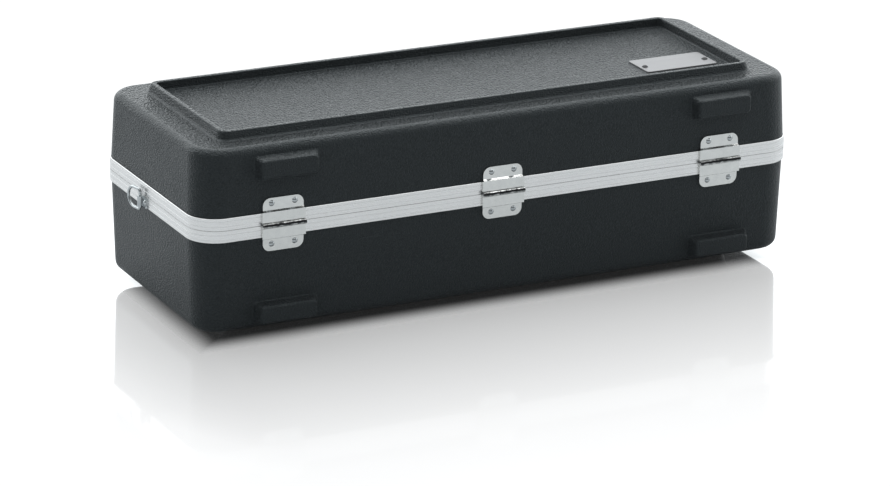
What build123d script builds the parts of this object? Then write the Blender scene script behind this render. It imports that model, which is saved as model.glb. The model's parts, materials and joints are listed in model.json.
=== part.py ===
"""Hard case for a trumpet: two moulded shells with metal edging, hinges, latches, handle and fitted lining.

Millimetres, +Z up. X runs along the case, the handle and latches are on the -Y side and the hinges on
the +Y side. The case stands on the rim under its base. Every sub-part is drawn about the case's own
middle, with the two halves meeting at PARTING. It is moved by CASE_Y and CASE_Z when it is saved, so that
the origin is on the floor under the middle of the overall box, handle and all.

Hardware is drawn on a wall frame: x along the wall, u outward from the case's middle, z up. That is the
back wall as it stands, and the other walls are the same thing turned about Z.
"""
from build123d import *
from math import cos, radians, sin, sqrt, tan
import os

# Overall sizes
LENGTH = 590.0            # outside of the metal edging, along X
DEPTH = 220.0             # outside of the metal edging, along Y
PARTING = 100.0           # where lid and base meet, as drawn
EDGE_CORNER = 27.5        # plan radius of the edging's corners
EDGE_HALF = 11.0          # height of each of the two edging sections
SHELL_T = 3.0             # moulded shell thickness
CASE_Y = 6.0              # the case's middle lies this far behind the origin
CASE_Z = 7.5              # the floor is this far below the drawing's zero

# Shells
LID_INSET = 1.2           # the lid shell stands this far inside the edging's face
BASE_INSET = 1.4
LID_DRAFT = 2.1           # degrees that the walls lean in
BASE_DRAFT = 1.85
LID_TOP = 171.0           # height of the lid's flat top
LID_CREST = 179.0         # top of the lid's raised rim
BASE_BOTTOM = 4.5         # height of the base's flat underside
BASE_CREST = -CASE_Z      # the rim under the base stands on the floor
LID_TOP_CORNER = 27.5     # plan radius of the walls' corners at the lid's flat
BASE_LOW_CORNER = 23.4    # the same at the base's flat
LID_EDGE_R = 8.0          # rounding round the top
BASE_EDGE_R = 9.0         # rounding round the bottom
LID_RIM = (520.0, 161.6)  # the lid rim's crest, outside
BASE_RIM = (500.0, 140.0) # the rim under the base, which fits inside another lid's rim
RIM_CORNER = 8.0
RIM_IN_CORNER = 3.0
RIM_CREST = 4.4           # width of the rim's flat crest
RIM_DRAFT_OUT = 21.0
RIM_DRAFT_IN = 8.0
RIM_FOOT_R = 3.4          # blend from the rim's outer slope to the flat
RIM_FOOT_IN_R = 1.5
RIM_CREST_R = 1.2

# Bumpers on the back wall
LID_BUMPER_XS = (-217.4, 211.0)
BASE_BUMPER_XS = (-218.5, 212.0)
BUMPER_FACE = 116.0       # how far back the bumpers reach
BUMPER_FACE_W = 52.5
BUMPER_FOOT_Y = 101.0     # where the foot's outline is drawn, inside the wall
BUMPER_FOOT_W = 66.0
LID_BUMPER_Z = (143.4, 159.4, 139.3, 163.5)    # face low, face high, foot low, foot high
BASE_BUMPER_Z = (11.9, 27.2, 8.6, 31.2)
BUMPER_CORNER = 3.2
BUMPER_FACE_R = 2.3
BUMPER_FOOT_R = 1.6       # blend from the bumper to the wall

# Edging
EDGE_LIP = 1.2            # inner lip and crown of the edging
EDGE_GROOVES = (3.6, 8.2) # grooves along the edging, from the parting line
EDGE_GROOVE = (0.15, 0.4) # their depth and width
PARTING_GROOVE = (0.8, 0.25)   # the same for the step beside the parting line, on each half
LID_CROWN = 2.8           # the lid's crown is thicker, to hold the groove
TONGUE_T = 1.2
TONGUE_H = 1.4
TONGUE_IN = 3.4           # from the edging's face to the tongue's middle
TONGUE_GAP = 0.4

# Hinges
HINGE_XS = (-215.4, 3.5, 215.4)
HINGE_TAB_W = 38.5
HINGE_PLATE_W = 41.0
HINGE_TAB_H = 24.0        # the tabs reach this far from the parting line
HINGE_TAB_CORNER = 7.0
HINGE_PLATE_T = 2.1
HINGE_AXIS = DEPTH / 2 + 2.6
KNUCKLE_R = 2.4
KNUCKLES = 5
KNUCKLE_GAP = 0.3
HINGE_PIN_R = 1.1
TAB_T = 1.4               # thickness of every tab that is riveted on
SEAT_GAP = 0.05           # between hardware and what it is seated on
RUN_GAP = 0.05            # radial clearance of every pin that turns

# Rivets
RIVET_HEAD_R = 2.7
RIVET_HEAD_H = 1.5
RIVET_SHANK_R = 1.6
RIVET_CLINCH_T = 0.9
HINGE_RIVET_PITCH = 22.0
LID_RIVET_H = 19.4        # from the parting line to the lid's rivets
BASE_RIVET_H = 17.4

# Brackets, latch plates and catches on the front
FRONT_NEAR = 1.4          # their plates begin this far from the parting line
FRONT_LOW = 36.0          # the tabs on the base reach this far from it
FRONT_LOW_RIVET_H = 31.0
BRACKET_W = 24.0
BRACKET_TAB_W = 22.0
BRACKET_CORNER = 5.0
BRACKET_T = 1.4
BRACKET_RIVET_DX = 5.5
BRACKET_EAR = ((109.3, 77.0), (117.0, 80.2), (117.0, 87.8), (110.7, 95.0))
BRACKET_EAR_XS = (-5.2, 3.6)  # where each ear begins
BRACKET_EAR_T = 1.6
BRACKET_EYE_R = 4.0

# Handle
HANDLE_X = 66.0           # its pivots are this far each side of the middle
HANDLE_PIVOT_U = 119.0
HANDLE_PIVOT_Z = 84.0
HANDLE_DROP = 38.0        # from the pivots to the middle of the grip
GRIP_R_U = 7.0            # half thickness of the grip's arms
GRIP_R_X = 7.5
GRIP_SWELL_U = 9.0        # half thickness at the middle of the grip
GRIP_SWELL_Z = 10.5
GRIP_BEND = 16.0
BAIL_W = 6.0
BAIL_T = 5.0
EYE_R = 4.2
HANDLE_PIN_R = 1.9
HANDLE_PIN_HEAD = (3.0, 1.0)  # its radius and height
GRIP_TOP = 9.0            # the grip's arms end this far below the pivots
GRIP_SWELL_X = 46.0       # the palm's swell ends here

# Latches
LATCH_X = 150.0
LATCH_W = 26.0
LATCH_CORNER = 6.0
LATCH_T = 1.2
LATCH_RIVET_DX = 8.0
LATCH_EAR = ((109.3, 78.0), (116.2, 83.0), (116.2, 89.0), (110.7, 94.5))
LATCH_EAR_XS = (-9.5, 8.0)
LATCH_EAR_T = 1.5
LATCH_EYE_R = 3.0
LEVER_U = 117.5           # lever's pivot
LEVER_Z = 86.0
HOOK_DU = -1.0            # hook's pivot, from the lever's
HOOK_DZ = -8.0
LEVER_PIN_R = 1.3
HOOK_PIN_R = 1.2
LEVER_HALF_W = 7.5
LEVER_T = 1.3
HOOK_HALF_W = 5.2
HOOK_T = 1.3
CATCH_TOP = 105.3         # top of the ledge that the hook holds
CATCH_REACH = 4.8         # how far the ledge stands out from the edging
CATCH_HALF_W = 6.0

# Shoulder-strap rings
RING_PIVOT_Y = 10.8       # from the middle, towards the front
RING_PIVOT_OUT = 3.2      # from the edging's face
RING_Z = 95.6
RING_WIRE_R = 1.35
RING_HALF_H = 9.1
RING_REACH = 18.6
RING_CORNER = 2.6
RING_LEAN = 10.0          # degrees that it stands away from the wall
LUG_Z = 94.1
LUG_HALF_H = 5.0
LUG_SLEEVE_R = 2.6
LUG_RIVET_Y = 4.8
LUG_END_Y = 1.0

# Nameplate on the lid
PLATE_X = -208.7
PLATE_Y = 33.0
PLATE_SIZE = (72.5, 38.0, 1.0)
PLATE_RIVET_DX = 31.0
PLATE_RIVET_DY = 3.5

# Lining, the space for the instrument, and the compartment at the end
LINING_X = 573.0
LINING_Y = 203.0
LINING_CORNER = 20.0
INSERT_BOTTOM = 7.9
INSERT_TOP = 97.0
LID_LINING_BOTTOM = 103.0
LID_LINING_TOP = 167.4
LID_LINING_T = 4.0
LINING_CHAMFER = 8.0
BELL_Y = -20.0            # the bell's axis
BELL_Z = 84.0
BELL_MOUTH_X = 272.0
BELL_R = 65.0
HOLDER_R = 14.0           # mouthpiece holders
HOLDER_DEPTH = 60.0
HOLDERS = ((165.0, 60.0), (208.0, 72.0))
POCKETS = (               # x from, x to, y from, y to, floor, corner: tubing, valves, mouthpipe
    (-140.0, 135.0, -37.0, 77.0, 58.0, 18.0),
    (-62.0, 52.0, -90.0, 94.0, 50.0, 14.0),
    (-222.0, -120.0, -38.0, -2.0, 62.0, 10.0),
)
BOX_X = (-282.0, -229.6)  # compartment with a flap
BOX_HALF_Y = 92.3
BOX_LEDGE = 5.0
BOX_FLOOR = 20.0
FLAP_T = 4.0
FLAP_GAP = 0.6            # round the flap
FLAP_CORNER = 5.0

FRONT = Rot(0, 0, 180)
RIGHT_END = Rot(0, 0, -90)
LEFT_END = Rot(0, 0, 90)
BACK_U = DEPTH / 2
END_U = LENGTH / 2
ACROSS = Rot(0, 90, 0)    # turns a cylinder along X
REACH_THROUGH = 40.0      # long enough to cut right through a wall
TAB_LIFT = SEAT_GAP + TAB_T   # from the shell's wall to the outer face of a tab on it


# ---------------------------------------------------------------- helpers

def save(shape, node):
    solids = [Pos(0, CASE_Y, CASE_Z) * solid for solid in shape.solids()]
    export_step(solids[0] if len(solids) == 1 else Compound(solids), f"parts/{node}.step")


def prism(size_x, size_y, corner, z_from, z_to, taper=0.0):
    """Rounded rectangle grown from one height to another, drawing in by the taper as it goes."""
    away = 1 if z_to > z_from else -1
    plane = Plane(origin=(0, 0, z_from), z_dir=(0, 0, away))
    return extrude(plane * RectangleRounded(size_x, size_y, corner), amount=abs(z_to - z_from), taper=taper)


def ring(outer_in, inner_in, z_from, z_to):
    """Band that follows the case's outline, between two distances inside the edging's face."""
    outer = prism(LENGTH - 2 * outer_in, DEPTH - 2 * outer_in, EDGE_CORNER - outer_in, z_from, z_to)
    inner = prism(LENGTH - 2 * inner_in, DEPTH - 2 * inner_in, EDGE_CORNER - inner_in, z_from, z_to)
    return outer - inner


def edges_at(shape, height):
    return shape.edges().filter_by_position(Axis.Z, height - 0.01, height + 0.01)


def side_plate(points, x_from, x_to):
    """Flat plate drawn as u, z points and given its width along the wall."""
    face = make_face(Polyline(*points, close=True))
    return Pos(x_from, 0, 0) * extrude(Plane.YZ * face, amount=x_to - x_from)


def cross_pin(x_from, x_to, u, z, radius):
    return Pos((x_from + x_to) / 2, u, z) * ACROSS * Cylinder(radius, x_to - x_from)


def wall_u(side_u, up, reach):
    """How far out the shell's wall is, at a distance from the parting line. up is 1 on the lid, -1 below."""
    inset = LID_INSET if up > 0 else BASE_INSET
    draft = LID_DRAFT if up > 0 else BASE_DRAFT
    return side_u - inset - max(0.0, reach - EDGE_HALF) * tan(radians(draft))


def rivet_place(x, side_u, up, reach, lift):
    """Where a rivet's head sits: square to the wall, lifted off it by what it holds."""
    draft = radians(LID_DRAFT if up > 0 else BASE_DRAFT)
    outward = (0, cos(draft), up * sin(draft))
    u = wall_u(side_u, up, reach) + lift
    return Plane(origin=(x, u, PARTING + up * reach), z_dir=outward).location


def dome(radius, height):
    ball = (radius * radius + height * height) / (2 * height)
    return (Pos(0, 0, height - ball) * Sphere(ball)) & (Pos(0, 0, height / 2) * Cylinder(radius, height))


def rivet(place, grip):
    """Domed rivet: head outside, shank through the grip, flat clinch inside."""
    shank = Pos(0, 0, -grip / 2) * Cylinder(RIVET_SHANK_R, grip)
    clinch = Pos(0, 0, -grip - RIVET_CLINCH_T / 2) * Cylinder(RIVET_HEAD_R, RIVET_CLINCH_T)
    return place * (dome(RIVET_HEAD_R, RIVET_HEAD_H) + shank + clinch)


def drill(place):
    return place * Cylinder(RIVET_SHANK_R + RUN_GAP, REACH_THROUGH)


def stepped_plate(up, near, far, plate_w, tab_w, corner, plate_t):
    """Plate that lies over the edging, then steps in to a tab on the shell's wall."""
    over = BACK_U + SEAT_GAP
    step = EDGE_HALF + 0.6
    tab = EDGE_HALF + 1.4
    bend = tab + 0.9

    def on_wall(reach):
        return wall_u(BACK_U, up, reach) + SEAT_GAP

    section = [
        (over, near), (over, step), (on_wall(tab), tab), (on_wall(far), far),
        (on_wall(far) + TAB_T, far), (on_wall(bend) + TAB_T, bend), (over + plate_t, step + 0.5),
        (over + plate_t, near),
    ]
    plate = side_plate([(u, PARTING + up * reach) for u, reach in section], -plate_w / 2, plate_w / 2)
    low = Rectangle(plate_w, step + 0.5 - near, align=(Align.CENTER, Align.MIN))
    tall = RectangleRounded(tab_w, 2 * (far - step), corner)
    outline = Pos(0, near) * low + Pos(0, step) * tall
    outline = outline & (Pos(0, near) * Rectangle(plate_w, far - near, align=(Align.CENTER, Align.MIN)))
    wall = Plane(origin=(0, BACK_U - 10, PARTING), x_dir=(1, 0, 0), z_dir=(0, 1, 0))
    flip = Rot(0, 0, 0) if up < 0 else Rot(180, 0, 0)
    cutter = extrude(wall * flip * outline, amount=20 if up < 0 else -20)
    return plate & cutter


# ---------------------------------------------------------------- where the rivets go

def hinge_rivets_at(up):
    reach = LID_RIVET_H if up > 0 else BASE_RIVET_H
    half = HINGE_RIVET_PITCH / 2
    return [rivet_place(x + dx, BACK_U, up, reach, TAB_LIFT) for x in HINGE_XS for dx in (-half, half)]


def front_rivets_at(xs, dx, up, reach):
    return [FRONT * rivet_place(x + side, BACK_U, up, reach, TAB_LIFT) for x in xs for side in (-dx, dx)]


def catch_rivets_at():
    return front_rivets_at((-LATCH_X, LATCH_X), LATCH_RIVET_DX, 1, LID_RIVET_H)


def latch_rivets_at():
    return front_rivets_at((-LATCH_X, LATCH_X), LATCH_RIVET_DX, -1, FRONT_LOW_RIVET_H)


def bracket_rivets_at():
    return front_rivets_at((-HANDLE_X, HANDLE_X), BRACKET_RIVET_DX, -1, FRONT_LOW_RIVET_H)


def lug_rivets_at():
    head = END_U + SEAT_GAP + EDGE_LIP
    out = Plane(origin=(0, head, LUG_Z), z_dir=(0, 1, 0)).location
    return [RIGHT_END * Pos(LUG_RIVET_Y, 0, 0) * out, LEFT_END * Pos(-LUG_RIVET_Y, 0, 0) * out]


def plate_rivets_at():
    z = LID_TOP + SEAT_GAP + PLATE_SIZE[2]
    return [Pos(PLATE_X + dx, PLATE_Y + PLATE_RIVET_DY, z) for dx in (-PLATE_RIVET_DX, PLATE_RIVET_DX)]


# ---------------------------------------------------------------- shells

def bumper(x, heights):
    face_low, face_high, foot_low, foot_high = heights

    def outline(width, low, high, y):
        plane = Plane(origin=(x, y, (low + high) / 2), x_dir=(1, 0, 0), z_dir=(0, -1, 0))
        return plane * RectangleRounded(width, high - low, BUMPER_CORNER)

    block = loft([
        outline(BUMPER_FOOT_W, foot_low, foot_high, BUMPER_FOOT_Y),
        outline(BUMPER_FACE_W, face_low, face_high, BUMPER_FACE),
    ])
    front = block.edges().filter_by_position(Axis.Y, BUMPER_FACE - 0.01, BUMPER_FACE + 0.01)
    return fillet(front, BUMPER_FACE_R)


def rim(z_foot, z_crest, size):
    """Ridge round the flat of a shell: sloping outside, steep inside. size is its crest's, outside."""
    height = abs(z_crest - z_foot)
    grow_out = 2 * height * tan(radians(RIM_DRAFT_OUT))
    grow_in = 2 * height * tan(radians(RIM_DRAFT_IN))
    spread = grow_out / 2
    body = prism(size[0] + grow_out, size[1] + grow_out, RIM_CORNER + spread, z_foot, z_crest, RIM_DRAFT_OUT)
    wide = 2 * RIM_CREST
    plane = Plane(origin=(0, 0, z_foot), z_dir=(0, 0, 1 if z_crest > z_foot else -1))
    hole = plane * RectangleRounded(size[0] - wide - grow_in, size[1] - wide - grow_in, RIM_IN_CORNER)
    body -= extrude(hole, amount=height, taper=-RIM_DRAFT_IN)
    return fillet(edges_at(body, z_crest), RIM_CREST_R)


def blend_rim(body, flat_z, size):
    """Rounds the rim's foot into the flat, outside and inside."""
    def beside_rim(edge, reach):
        return abs(edge.center().X) < size[0] / 2 + reach and abs(edge.center().Y) < size[1] / 2 + reach

    outer = edges_at(body, flat_z).filter_by(lambda edge: beside_rim(edge, 9.0) and not beside_rim(edge, 0.0))
    body = fillet(outer, RIM_FOOT_R)
    inner = edges_at(body, flat_z).filter_by(lambda edge: beside_rim(edge, 0.0))
    return fillet(inner, RIM_FOOT_IN_R)


def blend_bumpers(body, xs):
    """Rounds the bumpers' feet into the wall."""
    def at_foot(edge):
        middle = edge.center()
        beside = any(abs(middle.X - x) < BUMPER_FOOT_W / 2 for x in xs)
        return beside and BUMPER_FOOT_Y < middle.Y < BACK_U - BASE_INSET + 0.5

    feet = body.edges().filter_by(at_foot)
    return fillet(feet, BUMPER_FOOT_R)


def shell(up, inset, draft, flat_z, crest_z, rim_size, corner, edge_r, edge_top, bumper_xs, bumper_heights):
    """Moulded tray: straight where the edging grips it, then drafted to a rounded flat."""
    edge_z = PARTING + up * EDGE_HALF
    lip_z = PARTING + up * edge_top

    def tray(inside, floor_z, radius):
        size = (LENGTH - 2 * inside, DEPTH - 2 * inside, EDGE_CORNER - inside)
        lean = 2 * abs(floor_z - edge_z) * tan(radians(draft))
        far = Pos(0, 0, floor_z) * RectangleRounded(size[0] - lean, size[1] - lean, corner - (inside - inset))
        drafted = loft([Pos(0, 0, edge_z) * RectangleRounded(*size), far])
        drafted = fillet(edges_at(drafted, floor_z), radius)
        return drafted + prism(*size, edge_z, lip_z)

    outside = tray(inset, flat_z, edge_r)
    hollow = tray(inset + SHELL_T, flat_z - up * SHELL_T, edge_r - SHELL_T)
    body = blend_rim(outside + rim(flat_z, crest_z, rim_size), flat_z, rim_size)
    for x in bumper_xs:
        body += bumper(x, bumper_heights)
    return blend_bumpers(body, bumper_xs) - hollow


def lid_shell():
    body = shell(
        1, LID_INSET, LID_DRAFT, LID_TOP, LID_CREST, LID_RIM, LID_TOP_CORNER, LID_EDGE_R, LID_CROWN,
        LID_BUMPER_XS, LID_BUMPER_Z,
    )
    for place in hinge_rivets_at(1) + catch_rivets_at() + plate_rivets_at():
        body -= drill(place)
    return body


def base_shell():
    body = shell(
        -1, BASE_INSET, BASE_DRAFT, BASE_BOTTOM, BASE_CREST, BASE_RIM, BASE_LOW_CORNER, BASE_EDGE_R, EDGE_LIP,
        BASE_BUMPER_XS, BASE_BUMPER_Z,
    )
    for place in hinge_rivets_at(-1) + latch_rivets_at() + bracket_rivets_at() + lug_rivets_at():
        body -= drill(place)
    return body


# ---------------------------------------------------------------- edging

def edging(up, inset, crown):
    """Channel of metal edging that grips the shell's edge, with two shallow grooves along its face."""
    far = PARTING + up * EDGE_HALF
    lip = PARTING + up * (EDGE_HALF - 1.5)
    crown_z = PARTING + up * crown
    inner = inset + SHELL_T
    band = ring(0, inset, PARTING, far)
    band = chamfer(edges_at(band, far), 0.35)
    band += ring(0, inner + EDGE_LIP, PARTING, crown_z)
    band += ring(inner, inner + EDGE_LIP, PARTING, lip)
    deep, wide = EDGE_GROOVE
    for reach in EDGE_GROOVES:
        band -= ring(0, deep, PARTING + up * reach, PARTING + up * (reach + wide))
    deep, wide = PARTING_GROOVE
    return band - ring(0, deep, PARTING, PARTING + up * wide)


def lid_edging():
    groove_half = TONGUE_T / 2 + TONGUE_GAP
    body = edging(1, LID_INSET, LID_CROWN)
    return body - ring(TONGUE_IN - groove_half, TONGUE_IN + groove_half, PARTING, PARTING + TONGUE_H + TONGUE_GAP)


def base_edging():
    half = TONGUE_T / 2
    body = edging(-1, BASE_INSET, EDGE_LIP)
    body += ring(TONGUE_IN - half, TONGUE_IN + half, PARTING, PARTING + TONGUE_H)
    for place in lug_rivets_at():
        body -= drill(place)
    return body


# ---------------------------------------------------------------- hinges

def knuckle_span(index):
    width = HINGE_PLATE_W / KNUCKLES
    start = -HINGE_PLATE_W / 2 + index * width
    return start + KNUCKLE_GAP / 2, start + width - KNUCKLE_GAP / 2


def hinge_leaf(up):
    """One leaf, at x = 0: riveted tab, plate over the edging, and its share of the knuckles."""
    near = KNUCKLE_R + 0.25
    leaf = stepped_plate(up, near, HINGE_TAB_H, HINGE_PLATE_W, HINGE_TAB_W, HINGE_TAB_CORNER, HINGE_PLATE_T)
    inner = BACK_U + SEAT_GAP
    for index in range(KNUCKLES):
        if (index % 2 == 0) == (up < 0):
            low, high = knuckle_span(index)
            tongue = [(inner + 0.3, 0), (inner, near), (inner + HINGE_PLATE_T, near), (HINGE_AXIS, 0)]
            leaf += side_plate([(u, PARTING + up * reach) for u, reach in tongue], low, high)
            leaf += cross_pin(low, high, HINGE_AXIS, PARTING, KNUCKLE_R)
    half = HINGE_PLATE_W / 2
    return leaf - cross_pin(-half, half, HINGE_AXIS, PARTING, HINGE_PIN_R + RUN_GAP)


def hinge_leaf_at(x, up):
    leaf = Pos(x, 0, 0) * hinge_leaf(up)
    for place in hinge_rivets_at(up):
        leaf -= drill(place)
    return leaf


def hinge_pin(x):
    half = HINGE_PLATE_W / 2
    return cross_pin(x - half, x + half, HINGE_AXIS, PARTING, HINGE_PIN_R)


# ---------------------------------------------------------------- handle

def handle_bail():
    """Flat steel core: an eye at each end, two arms and a bar inside the grip."""
    bar_z = HANDLE_PIVOT_Z - HANDLE_DROP
    body = Pos(0, HANDLE_PIVOT_U, bar_z) * Box(2 * HANDLE_X + BAIL_W, BAIL_T, BAIL_W)
    for side in (-1, 1):
        x = side * HANDLE_X
        body += Pos(x, HANDLE_PIVOT_U, (HANDLE_PIVOT_Z + bar_z) / 2) * Box(BAIL_W, BAIL_T, HANDLE_DROP)
        body += cross_pin(x - BAIL_W / 2, x + BAIL_W / 2, HANDLE_PIVOT_U, HANDLE_PIVOT_Z, EYE_R)
        body -= cross_pin(x - BAIL_W, x + BAIL_W, HANDLE_PIVOT_U, HANDLE_PIVOT_Z, HANDLE_PIN_R + RUN_GAP)
    return FRONT * body


def handle_grip():
    """Moulded grip: two arms that bend into a bar, which swells at the palm."""
    top = HANDLE_PIVOT_Z - GRIP_TOP
    bar_z = HANDLE_PIVOT_Z - HANDLE_DROP
    wall = Plane(origin=(0, HANDLE_PIVOT_U, 0), x_dir=(1, 0, 0), z_dir=(0, -1, 0))
    run = FilletPolyline((-HANDLE_X, top), (-HANDLE_X, bar_z), (HANDLE_X, bar_z), (HANDLE_X, top), radius=GRIP_BEND)
    start = Plane(origin=(-HANDLE_X, HANDLE_PIVOT_U, top), x_dir=(1, 0, 0), z_dir=(0, 0, -1))
    body = sweep(start * Ellipse(GRIP_R_X, GRIP_R_U), path=wall.location * run)
    swell = []
    for share in (-1.0, -0.5, 0.0, 0.5, 1.0):
        full = 1 - share * share
        high = GRIP_R_X - 0.3 + (GRIP_SWELL_Z - GRIP_R_X + 0.3) * full
        thick = GRIP_R_U - 0.3 + (GRIP_SWELL_U - GRIP_R_U + 0.3) * full
        across = Plane(origin=(share * GRIP_SWELL_X, HANDLE_PIVOT_U, bar_z), x_dir=(0, 1, 0), z_dir=(1, 0, 0))
        swell.append(across * Ellipse(thick, high))
    body += loft(swell)
    return FRONT * body - handle_bail()


def bracket(side):
    """Riveted bracket with two ears, one each side of the handle's eye."""
    body = stepped_plate(-1, FRONT_NEAR, FRONT_LOW, BRACKET_W, BRACKET_TAB_W, BRACKET_CORNER, BRACKET_T)
    for low in BRACKET_EAR_XS:
        body += side_plate(BRACKET_EAR, low, low + BRACKET_EAR_T)
        body += cross_pin(low, low + BRACKET_EAR_T, HANDLE_PIVOT_U, HANDLE_PIVOT_Z, BRACKET_EYE_R)
    body -= cross_pin(-BRACKET_W / 2, BRACKET_W / 2, HANDLE_PIVOT_U, HANDLE_PIVOT_Z, HANDLE_PIN_R)
    body = FRONT * Pos(-side * HANDLE_X, 0, 0) * body
    for place in bracket_rivets_at():
        body -= drill(place)
    return body


def handle_pins():
    pins = []
    grip = -BRACKET_EAR_XS[0]
    head_r, head_h = HANDLE_PIN_HEAD
    for x in (-HANDLE_X, HANDLE_X):
        shank = cross_pin(x - grip, x + grip, HANDLE_PIVOT_U, HANDLE_PIVOT_Z, HANDLE_PIN_R)
        heads = cross_pin(x - grip - head_h, x - grip, HANDLE_PIVOT_U, HANDLE_PIVOT_Z, head_r)
        heads += cross_pin(x + grip, x + grip + head_h, HANDLE_PIVOT_U, HANDLE_PIVOT_Z, head_r)
        pins.append((FRONT * (shank + heads)).solid())
    return Compound(pins)


# ---------------------------------------------------------------- latches

def on_latch(side, shape):
    return FRONT * Pos(-side * LATCH_X, 0, 0) * shape


def latch_plate(side):
    """Plate on the base, with two ears that carry the lever."""
    body = stepped_plate(-1, FRONT_NEAR, FRONT_LOW, LATCH_W, LATCH_W, LATCH_CORNER, LATCH_T)
    for low in LATCH_EAR_XS:
        body += side_plate(LATCH_EAR, low, low + LATCH_EAR_T)
        body += cross_pin(low, low + LATCH_EAR_T, LEVER_U, LEVER_Z, LATCH_EYE_R)
    body -= cross_pin(-LATCH_W / 2, LATCH_W / 2, LEVER_U, LEVER_Z, LEVER_PIN_R)
    body = on_latch(side, body)
    for place in latch_rivets_at():
        body -= drill(place)
    return body


def lever_pivots(side):
    """Two short pins, so that the hook can pass between them."""
    pins = []
    for out in (-1, 1):
        shank = cross_pin(min(out * 6.0, out * 9.5), max(out * 6.0, out * 9.5), LEVER_U, LEVER_Z, LEVER_PIN_R)
        head = cross_pin(min(out * 9.5, out * 10.2), max(out * 9.5, out * 10.2), LEVER_U, LEVER_Z, 2.2)
        pins.append(on_latch(side, shank + head).solid())
    return Compound(pins)


def latch_lever(side):
    """Thumb lever: a plate below the pivots with an outward lip, and two cheeks."""
    def near(points):
        return [(LEVER_U + du, LEVER_Z + dz) for du, dz in points]

    plate = near([(3.0, -11.5), (4.5, -11.5), (4.5, -26.0), (8.2, -31.6), (7.2, -32.7), (3.0, -26.6)])
    body = side_plate(plate, -LEVER_HALF_W, LEVER_HALF_W)
    cheek = near([(-2.6, -1.5), (2.6, -1.5), (4.5, -9.0), (4.5, -24.0), (3.0, -24.0), (-3.3, -9.5)])
    for low in (-LEVER_HALF_W, LEVER_HALF_W - LEVER_T):
        body += side_plate(cheek, low, low + LEVER_T)
        body += cross_pin(low, low + LEVER_T, LEVER_U, LEVER_Z, LATCH_EYE_R)
    body -= cross_pin(-LATCH_W / 2, LATCH_W / 2, LEVER_U, LEVER_Z, LEVER_PIN_R + RUN_GAP)
    body -= cross_pin(-LATCH_W / 2, LATCH_W / 2, LEVER_U + HOOK_DU, LEVER_Z + HOOK_DZ, HOOK_PIN_R)
    return on_latch(side, body)


def hook_pin(side):
    return on_latch(side, cross_pin(-LEVER_HALF_W, LEVER_HALF_W, LEVER_U + HOOK_DU, LEVER_Z + HOOK_DZ, HOOK_PIN_R))


def latch_hook(side):
    """Flat link from the lever up to a claw that lies over the catch's ledge."""
    u = LEVER_U + HOOK_DU
    inner, outer = u - HOOK_T / 2, u + HOOK_T / 2
    claw_low = CATCH_TOP + 0.15
    claw_high = claw_low + 1.4
    eye_z = LEVER_Z + HOOK_DZ
    tip = BACK_U + 1.6
    strip = [(inner, eye_z), (outer, eye_z), (outer, claw_high), (tip, claw_high), (tip, claw_low), (inner, claw_low)]
    body = side_plate(strip, -HOOK_HALF_W, HOOK_HALF_W)
    body += cross_pin(-HOOK_HALF_W, HOOK_HALF_W, u, eye_z, 2.2)
    body -= cross_pin(-LATCH_W / 2, LATCH_W / 2, u, eye_z, HOOK_PIN_R + RUN_GAP)
    return on_latch(side, body)


def latch_catch(side):
    """Plate on the lid, with the ledge that the hook pulls down on."""
    body = stepped_plate(1, FRONT_NEAR, HINGE_TAB_H, LATCH_W, LATCH_W, LATCH_CORNER, LATCH_T)
    low, high = BACK_U + 0.6, BACK_U + CATCH_REACH
    ledge = [(low, CATCH_TOP - 2.7), (high, CATCH_TOP - 1.6), (high, CATCH_TOP), (low, CATCH_TOP)]
    body += side_plate(ledge, -CATCH_HALF_W, CATCH_HALF_W)
    body = on_latch(side, body)
    for place in catch_rivets_at():
        body -= drill(place)
    return body


# ---------------------------------------------------------------- shoulder-strap rings

def on_end(side, shape):
    """side is 1 at the +X end and -1 at the other. Both rings lie towards the front."""
    if side > 0:
        return RIGHT_END * shape
    return LEFT_END * mirror(shape, about=Plane.YZ)


def strap_lug(side):
    """Strip folded round the ring's straight bar and riveted to the edging."""
    u = END_U + RING_PIVOT_OUT
    foot = END_U + SEAT_GAP
    height = 2 * LUG_HALF_H
    fold = RING_PIVOT_OUT - SEAT_GAP
    body = Pos(RING_PIVOT_Y, u, LUG_Z) * Cylinder(LUG_SLEEVE_R, height)
    middle = (RING_PIVOT_Y + LUG_END_Y) / 2
    body += Pos(middle, foot + EDGE_LIP / 2, LUG_Z) * Box(RING_PIVOT_Y - LUG_END_Y, EDGE_LIP, height)
    body += Pos(RING_PIVOT_Y - LUG_SLEEVE_R / 2, foot + fold / 2, LUG_Z) * Box(LUG_SLEEVE_R, fold, height)
    body -= Pos(RING_PIVOT_Y, u, LUG_Z) * Cylinder(RING_WIRE_R + RUN_GAP, height)
    body = on_end(side, body)
    for place in lug_rivets_at():
        body -= drill(place)
    return body


def strap_ring(side):
    """Wire ring shaped like a D, its straight bar upright in the lug."""
    straight = RING_REACH - RING_HALF_H
    c = RING_CORNER
    h = RING_HALF_H
    turn = c * (1 - sqrt(0.5))
    loop = Wire([
        Edge.make_line((0, -h + c), (0, h - c)),
        ThreePointArc((0, h - c), (turn, h - turn), (c, h)).edge(),
        Edge.make_line((c, h), (straight, h)),
        ThreePointArc((straight, h), (straight + h, 0), (straight, -h)).edge(),
        Edge.make_line((straight, -h), (c, -h)),
        ThreePointArc((c, -h), (turn, -h + turn), (0, -h + c)).edge(),
    ])
    path = Plane(origin=(0, 0, 0), x_dir=(1, 0, 0), z_dir=(0, -1, 0)).location * loop
    start = Plane(origin=path @ 0, z_dir=path % 0)
    wire = Rot(0, 0, RING_LEAN) * sweep(start * Circle(RING_WIRE_R), path=path)
    return on_end(side, Pos(RING_PIVOT_Y, END_U + RING_PIVOT_OUT, RING_Z) * wire)


# ---------------------------------------------------------------- nameplate

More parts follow.
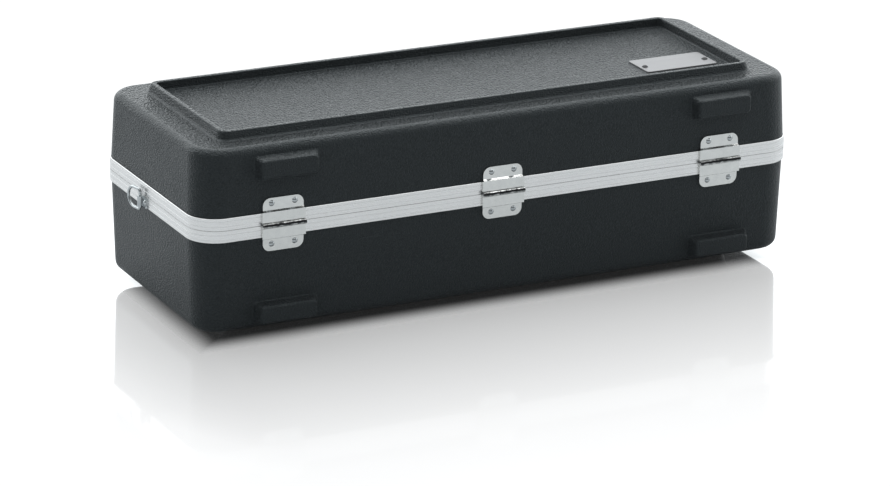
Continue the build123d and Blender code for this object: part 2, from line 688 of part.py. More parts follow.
def nameplate():
    width, height, thick = PLATE_SIZE
    body = extrude(RectangleRounded(width, height, 3.0), amount=thick)
    body = chamfer(edges_at(body, thick), 0.3)
    body = Pos(PLATE_X, PLATE_Y, LID_TOP + SEAT_GAP) * body
    for place in plate_rivets_at():
        body -= drill(place)
    return body


def nameplate_rivets():
    """Snap rivets that end flush inside the lid, clear of the lining."""
    grip = SHELL_T + SEAT_GAP + PLATE_SIZE[2]
    shank = Pos(0, 0, -grip / 2) * Cylinder(RIVET_SHANK_R, grip)
    return Compound([(place * (dome(3.0, 1.6) + shank)).solid() for place in plate_rivets_at()])


def rivet_set(places, grip):
    return Compound([rivet(place, grip).solid() for place in places])


# ---------------------------------------------------------------- lining

def bell_space():
    """Bell-shaped hollow, open upward: half of a flared round form with its outline carried up."""
    rates = ((0, 1.0), (5, 0.88), (14, 0.70), (30, 0.50), (55, 0.355), (90, 0.27), (150, 0.215))
    profile = [(BELL_MOUTH_X - back, BELL_R * share) for back, share in rates]
    curve = Spline(*profile)
    tail_x = profile[-1][0]
    close = Polyline(profile[-1], (tail_x, 0), (BELL_MOUTH_X, 0), profile[0])
    half = make_face(curve.edges() + close.edges())
    flare = revolve(Plane.XZ * half, Axis.X)
    both = half + mirror(half, about=Plane.XZ)
    raised = extrude(both, amount=40.0)
    return Pos(0, BELL_Y, BELL_Z) * (flare + raised)


def pocket(x_from, x_to, y_from, y_to, floor, corner):
    plan = Pos((x_from + x_to) / 2, (y_from + y_to) / 2, floor) * RectangleRounded(x_to - x_from, y_to - y_from, corner)
    return extrude(plan, amount=INSERT_TOP + 10 - floor)


def base_insert():
    """Plush-covered foam block with the instrument's outline sunk in it."""
    body = prism(LINING_X, LINING_Y, LINING_CORNER, INSERT_BOTTOM, INSERT_TOP)
    body = chamfer(edges_at(body, INSERT_BOTTOM), LINING_CHAMFER)
    body = fillet(edges_at(body, INSERT_TOP), 3.0)
    body -= bell_space()
    for place in POCKETS:
        body -= pocket(*place)
    body -= pocket(BOX_X[0], BOX_X[1], -BOX_HALF_Y, BOX_HALF_Y, INSERT_TOP - FLAP_T - 0.3, 1.5)
    inner_y = BOX_HALF_Y - BOX_LEDGE
    body -= pocket(BOX_X[0] + BOX_LEDGE, BOX_X[1] - BOX_LEDGE, -inner_y, inner_y, BOX_FLOOR, 6.0)
    for x, y in HOLDERS:
        body -= Pos(x, y, INSERT_TOP) * Cylinder(HOLDER_R, 2 * HOLDER_DEPTH)
    return body


def lid_lining():
    """Plush-covered tray that lines the lid."""
    height = LID_LINING_TOP - LID_LINING_BOTTOM
    body = prism(LINING_X, LINING_Y, LINING_CORNER, LID_LINING_BOTTOM, LID_LINING_TOP)
    body = chamfer(edges_at(body, LID_LINING_TOP), LINING_CHAMFER)
    shrink = 2 * LID_LINING_T
    ceiling = LID_LINING_BOTTOM + height - LID_LINING_T
    hollow = prism(LINING_X - shrink, LINING_Y - shrink, LINING_CORNER - 4, LID_LINING_BOTTOM, ceiling)
    return body - chamfer(edges_at(hollow, ceiling), LINING_CHAMFER - 2)


def compartment_flap():
    """Board with a round edge, about which it turns."""
    free, fixed = BOX_X[0] + FLAP_GAP, BOX_X[1] - FLAP_GAP
    high = 2 * (BOX_HALF_Y - FLAP_GAP)
    board = extrude(RectangleRounded(2 * (fixed - free), high, FLAP_CORNER), amount=FLAP_T)
    axis_x = fixed - FLAP_T / 2
    board = Pos(fixed, 0, INSERT_TOP - FLAP_T) * board
    board &= Pos((free + axis_x) / 2, 0, INSERT_TOP - FLAP_T / 2) * Box(axis_x - free, high, FLAP_T)
    return board + Pos(axis_x, 0, INSERT_TOP - FLAP_T / 2) * Rot(90, 0, 0) * Cylinder(FLAP_T / 2, high)


def flap_pull():
    """Ribbon tab that stands up from the flap's free edge."""
    return Pos(BOX_X[0] + 8, 0, INSERT_TOP + 5) * Box(1.4, 16, 10)


# ---------------------------------------------------------------- write the parts

def main():
    os.makedirs("parts", exist_ok=True)
    leaf_grip = SHELL_T + TAB_LIFT
    save(base_shell(), "base_shell")
    save(lid_shell(), "lid_shell")
    save(base_edging(), "base_edging")
    save(lid_edging(), "lid_edging")
    for number, x in enumerate(HINGE_XS, start=1):
        save(hinge_leaf_at(x, 1), f"hinge_leaf_lid_{number}")
        save(hinge_leaf_at(x, -1), f"hinge_leaf_base_{number}")
        save(hinge_pin(x), f"hinge_pin_{number}")
    save(rivet_set(hinge_rivets_at(1), leaf_grip), "hinge_rivets_lid")
    save(rivet_set(hinge_rivets_at(-1), leaf_grip), "hinge_rivets_base")
    save(handle_bail(), "handle_bail")
    save(handle_grip(), "handle_grip")
    save(handle_pins(), "handle_pins")
    save(rivet_set(bracket_rivets_at(), leaf_grip), "handle_bracket_rivets")
    for name, side in (("left", -1), ("right", 1)):
        save(bracket(side), f"handle_bracket_{name}")
        save(latch_plate(side), f"latch_plate_{name}")
        save(lever_pivots(side), f"latch_lever_pivots_{name}")
        save(latch_lever(side), f"latch_lever_{name}")
        save(hook_pin(side), f"latch_hook_pin_{name}")
        save(latch_hook(side), f"latch_hook_{name}")
        save(latch_catch(side), f"latch_catch_{name}")
        save(strap_lug(side), f"strap_lug_{name}")
        save(strap_ring(side), f"strap_ring_{name}")
    save(rivet_set(latch_rivets_at(), leaf_grip), "latch_plate_rivets")
    save(rivet_set(catch_rivets_at(), leaf_grip), "latch_catch_rivets")
    lug_grip = EDGE_LIP + SEAT_GAP + BASE_INSET + SHELL_T + EDGE_LIP
    save(rivet_set(lug_rivets_at(), lug_grip), "strap_lug_rivets")
    save(nameplate(), "nameplate")
    save(nameplate_rivets(), "nameplate_rivets")
    save(base_insert(), "base_insert")
    save(lid_lining(), "lid_lining")
    save(compartment_flap(), "compartment_flap")
    save(flap_pull(), "flap_pull")


if __name__ == "__main__":
    main()
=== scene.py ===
"""Looks for the trumpet case: finishes for the moulded shells and metal, and the plush interior.

Lengths are in metres. The CAD nodes keep their shape and place: only their materials are set here.
"""
import json
import math

import bpy
import numpy as np
from mathutils import Matrix, Vector


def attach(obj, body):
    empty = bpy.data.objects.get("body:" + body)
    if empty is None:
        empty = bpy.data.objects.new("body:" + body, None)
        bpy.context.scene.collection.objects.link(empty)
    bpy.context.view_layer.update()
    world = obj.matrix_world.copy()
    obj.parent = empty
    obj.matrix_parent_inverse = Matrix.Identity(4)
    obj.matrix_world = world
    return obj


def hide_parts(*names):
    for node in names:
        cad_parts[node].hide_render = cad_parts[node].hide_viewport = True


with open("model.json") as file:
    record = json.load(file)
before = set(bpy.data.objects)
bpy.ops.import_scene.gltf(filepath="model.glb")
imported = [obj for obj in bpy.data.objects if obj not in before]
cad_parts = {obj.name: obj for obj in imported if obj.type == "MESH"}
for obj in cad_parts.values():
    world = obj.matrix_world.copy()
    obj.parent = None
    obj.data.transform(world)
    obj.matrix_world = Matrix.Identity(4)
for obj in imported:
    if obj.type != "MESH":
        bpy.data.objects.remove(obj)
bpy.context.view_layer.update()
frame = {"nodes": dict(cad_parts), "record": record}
nodes = frame["nodes"]
scene = bpy.context.scene

# ---------------------------------------------------------------- camera, as the photograph saw the case

PHOTO_WIDTH = 890                     # pixels
PHOTO_FOCAL = 4423.38                 # focal length in those pixels
CAMERA_AT = (1.70724, 3.39664, 1.33984)
CAMERA_AZIMUTH = 153.33               # degrees
CAMERA_ELEVATION = 19.12
CAMERA_ROLL = 0.87
SENSOR = 36.0                         # millimetres
CLIP_END = 60.0


def make_camera():
    azimuth = math.radians(CAMERA_AZIMUTH)
    elevation = math.radians(CAMERA_ELEVATION)
    roll = math.radians(CAMERA_ROLL)
    flat = math.cos(elevation)
    back = Vector((math.sin(azimuth) * flat, -math.cos(azimuth) * flat, math.sin(elevation)))
    level = (-back).cross(Vector((0, 0, 1))).normalized()
    upright = level.cross(-back)
    right = level * math.cos(roll) + upright * math.sin(roll)
    up = upright * math.cos(roll) - level * math.sin(roll)
    data = bpy.data.cameras.new("camera")
    data.sensor_width = SENSOR
    data.lens = SENSOR * PHOTO_FOCAL / PHOTO_WIDTH
    data.clip_end = CLIP_END
    camera = bpy.data.objects.new("camera", data)
    turn = Matrix((right, up, back)).transposed()
    camera.matrix_world = Matrix.Translation(CAMERA_AT) @ turn.to_4x4()
    scene.collection.objects.link(camera)
    scene.camera = camera


# ---------------------------------------------------------------- node helpers

WHITE = (1, 1, 1, 1)
MIX_A, MIX_B, MIX_RESULT = 6, 7, 2    # the colour sockets of a Mix node
NOISE_RANGE = (0.3, 0.7)              # where the values of a noise mostly lie
NO_TO_YES = (0.0, 1.0)


class Tree:
    """A node tree, emptied, with short ways to add nodes and link them."""

    def __init__(self, tree):
        self.tree = tree
        tree.nodes.clear()

    def add(self, kind, **settings):
        node = self.tree.nodes.new(kind)
        for key, value in settings.items():
            setattr(node, key, value)
        return node

    def link(self, source, output, target, socket):
        self.tree.links.new(source.outputs[output], target.inputs[socket])

    def span(self, source, output, values, to, curve="LINEAR"):
        """Rescales a number from one range to another, clamped."""
        node = self.add("ShaderNodeMapRange", interpolation_type=curve)
        for name, value in zip(("From Min", "From Max", "To Min", "To Max"), (*values, *to)):
            node.inputs[name].default_value = value
        self.link(source, output, node, "Value")
        return node

    def number(self, operation, *terms):
        """Maths on numbers. Each term is a constant, or a node with the name of its output."""
        node = self.add("ShaderNodeMath", operation=operation)
        for slot, term in enumerate(terms):
            if isinstance(term, tuple):
                self.link(*term, node, slot)
            else:
                node.inputs[slot].default_value = term
        return node

    def vector(self, operation, source, output, constant=None):
        """Maths on a vector and, where the operation takes one, a constant vector."""
        node = self.add("ShaderNodeVectorMath", operation=operation)
        if constant is not None:
            node.inputs[1].default_value = constant
        self.link(source, output, node, 0)
        return node

    def separate(self, source, output):
        """X, Y and Z of a vector."""
        node = self.add("ShaderNodeSeparateXYZ")
        self.link(source, output, node, 0)
        return node

    def place(self, scale=(1, 1, 1)):
        """Position on the object, with each axis multiplied by its scale."""
        where = self.add("ShaderNodeTexCoord")
        stretch = self.add("ShaderNodeMapping")
        stretch.inputs["Scale"].default_value = scale
        self.link(where, "Object", stretch, "Vector")
        return stretch

    def noise(self, place, scale, detail=2.0, roughness=0.5):
        node = self.add("ShaderNodeTexNoise")
        node.inputs["Scale"].default_value = scale
        node.inputs["Detail"].default_value = detail
        node.inputs["Roughness"].default_value = roughness
        self.link(place, "Vector", node, "Vector")
        return node

    def cells(self, place, scale, smoothness=0.6):
        node = self.add("ShaderNodeTexVoronoi", feature="SMOOTH_F1")
        node.inputs["Scale"].default_value = scale
        node.inputs["Smoothness"].default_value = smoothness
        self.link(place, "Vector", node, "Vector")
        return node

    def shade(self, noise, dark, light, ends=NO_TO_YES):
        """Colour that goes from dark to light as the noise's value goes between the ends."""
        node = self.add("ShaderNodeValToRGB")
        for element, end, colour in zip(node.color_ramp.elements, ends, (dark, light)):
            element.position = end
            element.color = (*colour, 1)
        self.link(noise, "Fac", node, "Fac")
        return node

    def bump(self, source, output, distance, strength=1.0, under=None):
        node = self.add("ShaderNodeBump")
        node.inputs["Distance"].default_value = distance
        node.inputs["Strength"].default_value = strength
        self.link(source, output, node, "Height")
        if under:
            self.link(under, "Normal", node, "Normal")
        return node


class Finish(Tree):
    """A material with its output and one main shader."""

    def __init__(self, name):
        self.material = bpy.data.materials.new(name)
        self.material.use_nodes = True
        super().__init__(self.material.node_tree)
        self.output = self.add("ShaderNodeOutputMaterial")
        self.shader = self.add("ShaderNodeBsdfPrincipled")
        self.link(self.shader, "BSDF", self.output, "Surface")

    def dress(self, normal, colour, roughness=None, **constants):
        """Links the main shader's inputs, and sets those that are the same all over."""
        self.link(normal, "Normal", self.shader, "Normal")
        self.link(colour, "Color", self.shader, "Base Color")
        if roughness:
            self.link(roughness, "Result", self.shader, "Roughness")
        for key, value in constants.items():
            self.shader.inputs[key.replace("_", " ")].default_value = value


# ---------------------------------------------------------------- materials

SHELL_DARK, SHELL_LIGHT = (0.0200, 0.0226, 0.0238), (0.0305, 0.0345, 0.0362)
SHELL_SHINE = (0.86, 0.965, 1.0, 1)
GRAIN_STRETCH = (1.0, 0.5, 1.0)       # the grain is twice as long from front to back
FLAT_FROM = (0.975, 0.995)            # how far up a face looks where the coarse grain sets in

BLACK_DARK, BLACK_LIGHT = (0.0068, 0.0078, 0.0082), (0.0125, 0.0143, 0.0150)
PLUSH_DARK, PLUSH_LIGHT = (0.010, 0.011, 0.014), (0.036, 0.038, 0.046)
PLUSH_SHEEN = (0.55, 0.57, 0.63, 1)
RIBBON_DARK, RIBBON_LIGHT = (0.013, 0.014, 0.017), (0.026, 0.028, 0.033)

PLATED_DARK, PLATED_LIGHT = (0.59, 0.594, 0.583), (0.722, 0.72, 0.70)
BRIGHT_DARK, BRIGHT_LIGHT = (0.36, 0.38, 0.39), (0.55, 0.575, 0.58)
# Painted shade: the hinge pins' nickel is darkened. It stands for the shadow at the hinge joint and the
# dark it mirrors.
PIN_SHADE_DARK, PIN_SHADE_LIGHT = (0.10, 0.105, 0.11), (0.62, 0.64, 0.65)
EDGING_TONE = (0.79, 0.782, 0.774)
NAMEPLATE_TONE = (0.188, 0.186, 0.190)
SCRATCH_DEPTH = 0.00003
WIPE_DEPTH = 0.00002
WIPE_STRETCH = (900.0, 900.0, 90.0)

# Painted shade: a dark band put into the hinge leaves' colour along the knuckles. It stands for the
# joint's shadow and the dark it mirrors.
KNUCKLE_SHADE = (0.035, 0.037, 0.038, 1)
KNUCKLE_SHADE_HEIGHT = 0.1082                 # along the hinges' knuckles
KNUCKLE_SHADE_DRIFT = 0.0006                  # the band strays this far up and down
KNUCKLE_SHADE_EDGE = (0.0007, 0.0019)         # from its middle to where it thins out, and to where it ends


def moulded_plastic():
    """Charcoal shell: fine grain, coarser on the flats, slightly uneven and faintly rubbed."""
    m = Finish("moulded_plastic")
    place = m.place()
    fine = m.noise(m.place(GRAIN_STRETCH), scale=820.0, detail=1.0, roughness=0.6)
    coarse = m.noise(m.place(GRAIN_STRETCH), scale=600.0, detail=0.7, roughness=0.6)
    upward = m.separate(m.add("ShaderNodeTexCoord"), "Normal")
    flat = m.span(upward, "Z", FLAT_FROM, NO_TO_YES)
    slow = m.noise(place, scale=9.0, detail=3.0, roughness=0.55)
    rubbed = m.noise(m.place((1.0, 1.6, 3.0)), scale=14.0, detail=6.0, roughness=0.65)
    wave = m.bump(slow, "Fac", distance=0.0007, strength=0.2)
    skin = m.bump(fine, "Fac", distance=0.0010, under=wave)
    grain = m.bump(coarse, "Fac", distance=0.0032, under=skin)
    m.link(flat, "Result", grain, "Strength")
    speck = m.noise(place, scale=640.0, detail=1.0)
    tone = m.shade(speck, SHELL_DARK, SHELL_LIGHT, ends=NOISE_RANGE)
    matt = m.span(rubbed, "Fac", (0.35, 0.7), (0.33, 0.27))
    m.dress(grain, tone, matt, IOR=1.28, Specular_Tint=SHELL_SHINE)
    return m.material


def brushed_metal(name, tone, along, mottle, darkest, scratch, roughness, **constants):
    """Satin metal with fine lines. along holds how fast the lines change in X, Y and Z."""
    m = Finish(name)
    lines = m.noise(m.place(along), scale=1.0, detail=4.0, roughness=0.65)
    slow = m.noise(m.place(), scale=mottle, detail=3.0)
    scratches = m.bump(lines, "Fac", SCRATCH_DEPTH, scratch)
    colour = m.shade(slow, tuple(darkest * value for value in tone), tone)
    matt = m.span(lines, "Fac", NOISE_RANGE, roughness)
    m.dress(scratches, colour, matt, **constants)
    return m.material


def nickel_plate(name, dark, light, gloss, ripple_depth, shaded_knuckles=False):
    """Plated steel with a slight ripple and fine wiping marks, and, when asked for, a band of painted
    shade along the knuckles.
    """
    m = Finish(name)
    ripple = m.noise(m.place(), scale=190.0)
    wipe = m.noise(m.place(WIPE_STRETCH), scale=1.0, detail=3.0, roughness=0.6)
    wavy = m.bump(ripple, "Fac", ripple_depth, strength=0.7)
    lines = m.bump(wipe, "Fac", WIPE_DEPTH, strength=0.4, under=wavy)
    colour = m.shade(ripple, dark, light)
    matt = m.span(wipe, "Fac", NOISE_RANGE, (gloss, gloss + 0.1))
    m.dress(lines, colour, matt, Metallic=1.0)
    # Painted shade: the base colour darkens to a near-black band along the knuckles.
    if shaded_knuckles:
        shaded_band = m.add("ShaderNodeMix", data_type="RGBA")
        m.link(away_from_knuckle_shade(m), "Result", shaded_band, "Factor")
        shaded_band.inputs[MIX_A].default_value = KNUCKLE_SHADE
        m.link(colour, "Color", shaded_band, MIX_B)
        m.link(shaded_band, MIX_RESULT, m.shader, "Base Color")
    return m.material


def away_from_knuckle_shade(m):
    """1 on the object away from the painted shade band's height, falling unevenly to 0 near it."""
    up = m.separate(m.place(), "Vector")
    patchy = m.noise(m.place(), scale=260.0, detail=3.0, roughness=0.6)
    heights = (-KNUCKLE_SHADE_HEIGHT - KNUCKLE_SHADE_DRIFT, -KNUCKLE_SHADE_HEIGHT + KNUCKLE_SHADE_DRIFT)
    drift = m.span(patchy, "Fac", NOISE_RANGE, heights)
    above = m.number("ADD", (up, "Z"), (drift, "Result"))
    away = m.number("ABSOLUTE", (above, "Value"))
    return m.span(away, "Value", KNUCKLE_SHADE_EDGE, NO_TO_YES)


def black_plastic(name, grain_scale, grain_depth):
    """Dark moulded plastic for the grip and the snap rivets."""
    m = Finish(name)
    place = m.place()
    leather = m.bump(m.cells(place, grain_scale), "Distance", grain_depth, strength=0.6)
    slow = m.noise(place, scale=60.0, detail=3.0)
    tone = m.shade(slow, BLACK_DARK, BLACK_LIGHT)
    matt = m.span(slow, "Fac", NOISE_RANGE, (0.38, 0.5))
    m.dress(leather, tone, matt, IOR=1.45)
    return m.material


def plush():
    """Short dark pile: soft mottling where the nap lies different ways, and a sheen."""
    m = Finish("plush")
    place = m.place()
    pile = m.noise(place, scale=2600.0, roughness=0.7)
    nap = m.noise(place, scale=38.0, detail=5.0, roughness=0.62)
    soft = m.bump(nap, "Fac", distance=0.0011, strength=0.6)
    fuzz = m.bump(pile, "Fac", distance=0.00045, strength=0.9, under=soft)
    tone = m.shade(nap, PLUSH_DARK, PLUSH_LIGHT, ends=(0.3, 0.72))
    m.dress(fuzz, tone, Roughness=0.95, IOR=1.3,
            Sheen_Weight=0.45, Sheen_Roughness=0.45, Sheen_Tint=PLUSH_SHEEN)
    return m.material


def ribbon():
    """Ribbed dark ribbon."""
    m = Finish("ribbon")
    ribs = m.noise(m.place((2.0, 2600.0, 2.0)), scale=1.0, detail=1.0)
    wear = m.noise(m.place(), scale=160.0, detail=3.0)
    ribbed = m.bump(ribs, "Fac", distance=0.00012, strength=0.7)
    tone = m.shade(wear, RIBBON_DARK, RIBBON_LIGHT)
    m.dress(ribbed, tone, Roughness=0.55, Sheen_Weight=0.3, Sheen_Roughness=0.4)
    return m.material


# ---------------------------------------------------------------- floor

FLOOR_SIZE = 14.0
FOOTPRINT = (0.2936, 0.1094)          # half the case's length and depth, over the shells
FOOTPRINT_Y = 0.006                   # the case's middle, from the frame's origin
# Painted shadow: the floor's glow is lowered by distance from the case's outline. Only its faint diffuse
# part gets a real shadow.
SHADOW_EDGE = (-0.028, 0.006)         # distances from the case's outline over which the shadow ends
FLOOR_GLOW = (0.02, 0.73)             # the floor's own light, within the shadow and past it
FLOOR_FAINT = (0.22, 0.22, 0.22, 1)   # how much more it shows the camera of the light on it
FLOOR_COLOUR = (0.5, 0.515, 0.525, 1)    # what the case gets back from it
FLOOR_ROUGHNESS = (0.045, 0.055)
END_STRETCH = 2.2                     # the end wall's reflection is this much shorter on the floor
MIRROR_REACH = 0.42                   # distance from the case at which the reflection has gone
MIRROR = (                            # share of that distance, and how much the floor mirrors
    (0.0, 0.40), (0.1, 0.362), (0.23, 0.312), (0.35, 0.262), (0.467, 0.2),
    (0.583, 0.12), (0.7, 0.078), (0.87, 0.045), (1.0, 0.0),
)


def off_footprint(m):
    """Distance along the floor from the case's outline, negative under the case."""
    where = m.add("ShaderNodeNewGeometry")
    centred = m.vector("SUBTRACT", where, "Position", (0, FOOTPRINT_Y, 0))
    folded = m.vector("ABSOLUTE", centred, "Vector")
    past = m.vector("SUBTRACT", folded, "Vector", (*FOOTPRINT, 0))
    outside = m.vector("MAXIMUM", past, "Vector", (0, 0, 0))
    stretched = m.vector("MULTIPLY", outside, "Vector", (END_STRETCH, 1, 1))
    distance = m.vector("LENGTH", stretched, "Vector")
    apart = m.separate(past, "Vector")
    nearer = m.number("MAXIMUM", (apart, "X"), (apart, "Y"))
    inside = m.number("MINIMUM", (nearer, "Value"), 0.0)
    return m.number("ADD", (distance, "Value"), (inside, "Value"))


def floor_material():
    """Pale polished floor: white, with a painted shadow at the case's foot over a faint real one, and a
    reflection that fades.
    """
    m = Finish("studio_floor")
    m.tree.nodes.remove(m.shader)
    away = off_footprint(m)
    matt = m.add("ShaderNodeBsdfDiffuse")
    matt.inputs["Color"].default_value = FLOOR_COLOUR
    faint = m.add("ShaderNodeBsdfDiffuse")
    faint.inputs["Color"].default_value = FLOOR_FAINT
    glow = m.add("ShaderNodeEmission")
    # Painted shadow: the glow falls to almost nothing under the case.
    lift = m.span(away, "Value", SHADOW_EDGE, FLOOR_GLOW, curve="SMOOTHSTEP")
    m.link(lift, "Result", glow, "Strength")
    pale = m.add("ShaderNodeAddShader")
    m.link(faint, "BSDF", pale, 0)
    m.link(glow, "Emission", pale, 1)
    gloss = m.add("ShaderNodeBsdfGlossy")
    gloss.inputs["Color"].default_value = WHITE
    smooth = m.span(m.noise(m.place(), scale=3.0), "Fac", NOISE_RANGE, FLOOR_ROUGHNESS)
    m.link(smooth, "Result", gloss, "Roughness")
    reach = m.span(away, "Value", (0.0, MIRROR_REACH), NO_TO_YES)
    fade = m.add("ShaderNodeValToRGB")
    ramp = fade.color_ramp.elements
    for position, value in MIRROR[1:-1]:
        ramp.new(position)
    for element, (position, value) in zip(ramp, MIRROR):
        element.position = position
        element.color = (value, value, value, 1)
    m.link(reach, "Result", fade, "Fac")
    polished = m.add("ShaderNodeMixShader")
    m.link(fade, "Color", polished, "Fac")
    m.link(pale, "Shader", polished, 1)
    m.link(gloss, "BSDF", polished, 2)
    path = m.add("ShaderNodeLightPath")
    total = m.add("ShaderNodeMixShader")
    m.link(path, "Is Camera Ray", total, "Fac")
    m.link(matt, "BSDF", total, 1)
    m.link(polished, "Shader", total, 2)
    m.link(total, "Shader", m.output, "Surface")
    return m.material


def make_floor():
    mesh = bpy.data.meshes.new("floor")
    h = FLOOR_SIZE / 2
    mesh.from_pydata([(-h, -h, 0), (h, -h, 0), (h, h, 0), (-h, h, 0)], [], [(0, 1, 2, 3)])
    floor = bpy.data.objects.new("floor", mesh)
    scene.collection.objects.link(floor)
    mesh.materials.append(floor_material())


# ---------------------------------------------------------------- light

STUDIO_TINT = (0.96, 1.0, 1.02, 1)
TOWARDS_VIEW = (0.449, 0.894, 0.0)    # level, from the case to the viewer
FAR_LIGHT = 2.05                      # beyond the case
NEAR_LIGHT = 0.3                      # on the viewer's side
TOP_LIGHT = 1.1
NEAR_FADE = (-0.5, 0.3)               # how directly towards the viewer the far light ends
TOP_FADE = (0.6, 0.85)                # how steeply up the top light begins


def make_world():
    """White studio, darker on the viewer's side, so that bright metal has something to mirror."""
    world = bpy.data.worlds.new("studio")
    world.use_nodes = True
    w = Tree(world.node_tree)
    where = w.add("ShaderNodeTexCoord")
    height = w.separate(where, "Generated")
    side = w.vector("DOT_PRODUCT", where, "Generated", TOWARDS_VIEW)
    around = w.span(side, "Value", NEAR_FADE, (FAR_LIGHT, NEAR_LIGHT), curve="SMOOTHSTEP")
    up = w.span(height, "Z", TOP_FADE, NO_TO_YES, curve="SMOOTHSTEP")
    sky = w.add("ShaderNodeMix", data_type="FLOAT")
    w.link(up, "Result", sky, "Factor")
    w.link(around, "Result", sky, "A")
    sky.inputs["B"].default_value = TOP_LIGHT
    path = w.add("ShaderNodeLightPath")
    strength = w.add("ShaderNodeMix", data_type="FLOAT")
    w.link(path, "Is Camera Ray", strength, "Factor")
    w.link(sky, "Result", strength, "A")
    strength.inputs["B"].default_value = 1.0
    tint = w.add("ShaderNodeMix", data_type="RGBA")
    w.link(path, "Is Camera Ray", tint, "Factor")
    tint.inputs[MIX_A].default_value = STUDIO_TINT
    tint.inputs[MIX_B].default_value = WHITE
    background = w.add("ShaderNodeBackground")
    w.link(tint, MIX_RESULT, background, "Color")
    w.link(strength, "Result", background, "Strength")
    output = w.add("ShaderNodeOutputWorld")
    w.link(background, "Background", output, "Surface")
    scene.world = world


def area_lamp(name, at, towards, size, power):
    data = bpy.data.lights.new(name, "AREA")
    data.shape = "RECTANGLE"
    data.size, data.size_y = size
    data.energy = power
    lamp = bpy.data.objects.new(name, data)
    lamp.location = at
    lamp.rotation_euler = (Vector(towards) - Vector(at)).to_track_quat("-Z", "Y").to_euler()
    scene.collection.objects.link(lamp)


# ---------------------------------------------------------------- the plush interior

PRESSURE = 4.0
CLOTH_QUALITY = 4
SWELL_FRAMES = 20
TINY = 1e-9                           # stands in for the way of a point that hasn't moved

PLUSH_PIECES = (
    # name, CAD node, body, size of the remesh, drawn in by, furthest it swells, fill
    ("insert_plush", "base_insert", "base", 0.005, 0.0022, 0.004, 0.7),
    ("lid_plush", "lid_lining", "lid", 0.003, 0.0006, 0.002, 0.6),
    ("flap_plush", "compartment_flap", "flap", 0.0016, 0.0006, 0.0011, 0.8),
)

PULL_AT = (-0.274, 0.006, 0.1045)     # middle of the ribbon's foot, on the flap's free edge
PULL_WIDTH = 0.0152
PULL_PATH = (                         # millimetres along X and up, from the foot
    (-0.6, 0.1), (-0.62, 3.0), (-0.55, 6.2), (-0.5, 8.4), (-0.1, 9.35),
    (0.3, 8.6), (0.36, 6.4), (0.2, 3.2), (0.62, 0.1),
)
PULL_STEPS_ALONG = 4                  # from one point of the path to the next
PULL_STEPS_ACROSS = 12
PULL_DROOP = 0.05                     # its sides hang this share lower than its middle
RIBBON_T = 0.00035


def as_mesh(piece, *modifiers):
    """The piece's mesh becomes what its modifiers make of it."""
    for kind, settings in modifiers:
        modifier = piece.modifiers.new(kind.title(), kind)
        for key, value in settings.items():
            setattr(modifier, key, value)
    made = piece.evaluated_get(bpy.context.evaluated_depsgraph_get())
    mesh = bpy.data.meshes.new_from_object(made)
    piece.modifiers.clear()
    piece.data = mesh


def shade_smooth(mesh):
    mesh.polygons.foreach_set("use_smooth", [True] * len(mesh.polygons))


def at_points(mesh, what):
    """One vector for each of the mesh's points: co or normal."""
    flat = np.empty(len(mesh.vertices) * 3)
    mesh.vertices.foreach_get(what, flat)
    return flat.reshape(-1, 3)


def put_points(mesh, points):
    mesh.vertices.foreach_set("co", points.ravel())
    mesh.update()


def swell(piece, furthest):
    """Blows the closed mesh up as cloth. furthest limits each point's way from where it starts."""
    start = at_points(piece.data, "co")
    cloth = piece.modifiers.new("Cloth", "CLOTH")
    cloth.settings.use_pressure = True
    cloth.settings.uniform_pressure_force = PRESSURE
    cloth.settings.quality = CLOTH_QUALITY
    cloth.settings.effector_weights.gravity = 0
    for step in range(SWELL_FRAMES):
        scene.frame_set(step + 1)
    soft = piece.evaluated_get(bpy.context.evaluated_depsgraph_get())
    moved = at_points(soft.data, "co") - start
    piece.modifiers.clear()
    scene.frame_set(1)
    way = np.linalg.norm(moved, axis=1)
    share = np.minimum(1.0, furthest / np.maximum(way, TINY))
    put_points(piece.data, start + moved * share[:, None])


def plush_piece(name, node, body, voxel, shrink, furthest, fill):
    """Soft piece for a CAD node: its mesh remeshed, drawn in, swollen as cloth and smoothed."""
    piece = bpy.data.objects.new(name, nodes[node].data.copy())
    scene.collection.objects.link(piece)
    as_mesh(piece, ("REMESH", {"mode": "VOXEL", "voxel_size": voxel}))
    shrunk = at_points(piece.data, "co") - at_points(piece.data, "normal") * shrink
    put_points(piece.data, shrunk)
    swell(piece, furthest)
    as_mesh(
        piece,
        ("SMOOTH", {"factor": 0.5, "iterations": 2}),
        ("SUBSURF", {"levels": 1, "render_levels": 1}),
    )
    shade_smooth(piece.data)
    piece.data.materials.clear()
    piece.data.materials.append(finishes["plush"])
    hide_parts(node)
    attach(piece, body)


def smooth_path(path, steps):
    """A smooth curve through the path's points, with this many steps between two of them."""
    curve = []
    ends = zip([path[0], *path], path, path[1:], [*path[2:], path[-1]])
    for before, start, end, after in ends:
        leaving, arriving = (end - before) / 2, (after - start) / 2
        for step in range(steps):
            t = step / steps
            tt, ttt = t ** 2, t ** 3
            curve.append(
                start * (2 * ttt - 3 * tt + 1) + leaving * (ttt - 2 * tt + t)
                + end * (3 * tt - 2 * ttt) + arriving * (ttt - tt)
            )
    return [*curve, path[-1]]


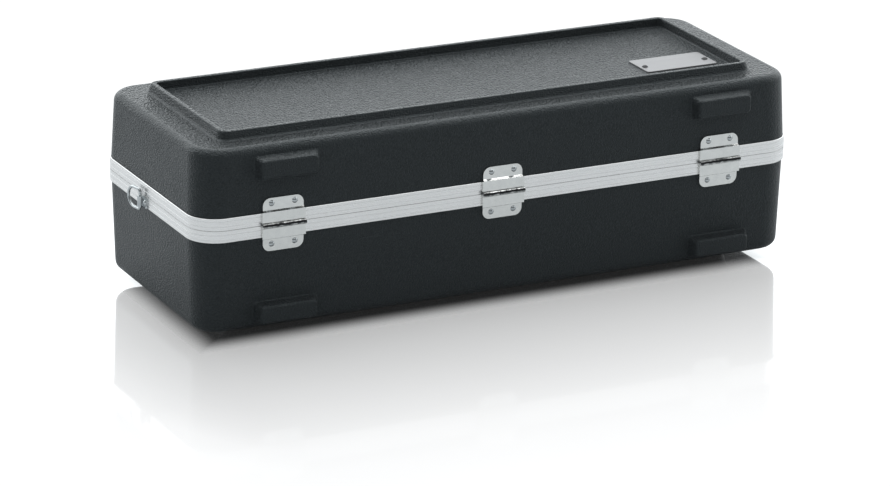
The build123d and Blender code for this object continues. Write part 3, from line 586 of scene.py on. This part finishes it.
def ribbon_pull():
    """Ribbon folded over into a tab, a little bowed across its width."""
    path = smooth_path([Vector((x, z)) / 1000 for x, z in PULL_PATH], PULL_STEPS_ALONG)
    points, faces = [], []
    across = PULL_STEPS_ACROSS + 1
    for x, z in path:
        for step in range(across):
            share = 2 * step / PULL_STEPS_ACROSS - 1
            y = share * PULL_WIDTH / 2
            droop = 1 - PULL_DROOP * share ** 2
            points.append((PULL_AT[0] + x, PULL_AT[1] + y, PULL_AT[2] + z * droop))
    for row in range(len(path) - 1):
        for step in range(PULL_STEPS_ACROSS):
            corner = row * across + step
            faces.append((corner, corner + 1, corner + across + 1, corner + across))
    mesh = bpy.data.meshes.new("pull_ribbon")
    mesh.from_pydata(points, [], faces)
    piece = bpy.data.objects.new("pull_ribbon", mesh)
    scene.collection.objects.link(piece)
    as_mesh(piece, ("SOLIDIFY", {"thickness": RIBBON_T, "offset": 0.0}))
    shade_smooth(piece.data)
    piece.data.materials.append(ribbon())
    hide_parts("flap_pull")
    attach(piece, "flap")


# ---------------------------------------------------------------- finishes of the CAD nodes

UPRIGHT_LINES = (3.0, 3.0, 2600.0)    # lines close together going up, long the other ways
DEEP_LINES = (4.0, 1800.0, 4.0)       # the same going back
BRIGHT = (
    "hinge_rivets", "strap_ring", "strap_lug", "handle_pins", "latch_plate_rivets",
    "latch_catch_rivets", "handle_bracket_rivets",
)


def make_finishes():
    """One finish for each material slot of the record."""
    return {
        "moulded_shell": moulded_plastic(),
        "edging": brushed_metal(
            "edging_aluminium", EDGING_TONE, UPRIGHT_LINES, mottle=22.0, darkest=0.93,
            scratch=0.5, roughness=(0.22, 0.34), Metallic=1.0,
        ),
        "nickel_hardware": nickel_plate("nickel_plate", PLATED_DARK, PLATED_LIGHT, 0.12, 0.0002),
        "nameplate": brushed_metal(
            "nameplate_satin", NAMEPLATE_TONE, DEEP_LINES, mottle=35.0, darkest=0.9,
            scratch=0.6, roughness=(0.3, 0.42), Metallic=0.35, IOR=1.45,
        ),
        "black_fasteners": black_plastic("black_fastener", 900.0, 0.00008),
        "grip": black_plastic("grip_plastic", 700.0, 0.00025),
        "plush": plush(),
    }


def finish_nodes():
    """Each node takes its slot's finish. Round heads, rings, hinge pins and leaves have their own."""
    bright = nickel_plate("nickel_bright", BRIGHT_DARK, BRIGHT_LIGHT, 0.04, 0.0001)
    # Painted shade at the hinge joint: the pins are darkened all over, and the leaves are darkened in a
    # band along the knuckles.
    shaded_pin = nickel_plate("nickel_pin_painted_shade", PIN_SHADE_DARK, PIN_SHADE_LIGHT, 0.18, 0.0006)
    leaf = nickel_plate("nickel_leaf", PLATED_DARK, PLATED_LIGHT, 0.12, 0.0002, shaded_knuckles=True)
    own = ((BRIGHT, bright), ("hinge_pin", shaded_pin), ("hinge_leaf", leaf))
    slot_of = {part["node"]: part["material_slot"] for part in frame["record"]["subparts"]}
    for name, node in nodes.items():
        finish = finishes[slot_of[name]]
        for beginnings, other in own:
            if name.startswith(beginnings):
                finish = other
        node.data.materials.clear()
        node.data.materials.append(finish)


make_camera()
make_floor()
make_world()
area_lamp("overhead", at=(-0.3, -0.8, 2.6), towards=(0, 0, 0.1), size=(3.2, 2.4), power=60.0)
finishes = make_finishes()
finish_nodes()
for row in PLUSH_PIECES:
    plush_piece(*row)
ribbon_pull()
scene.view_settings.view_transform = "Standard"
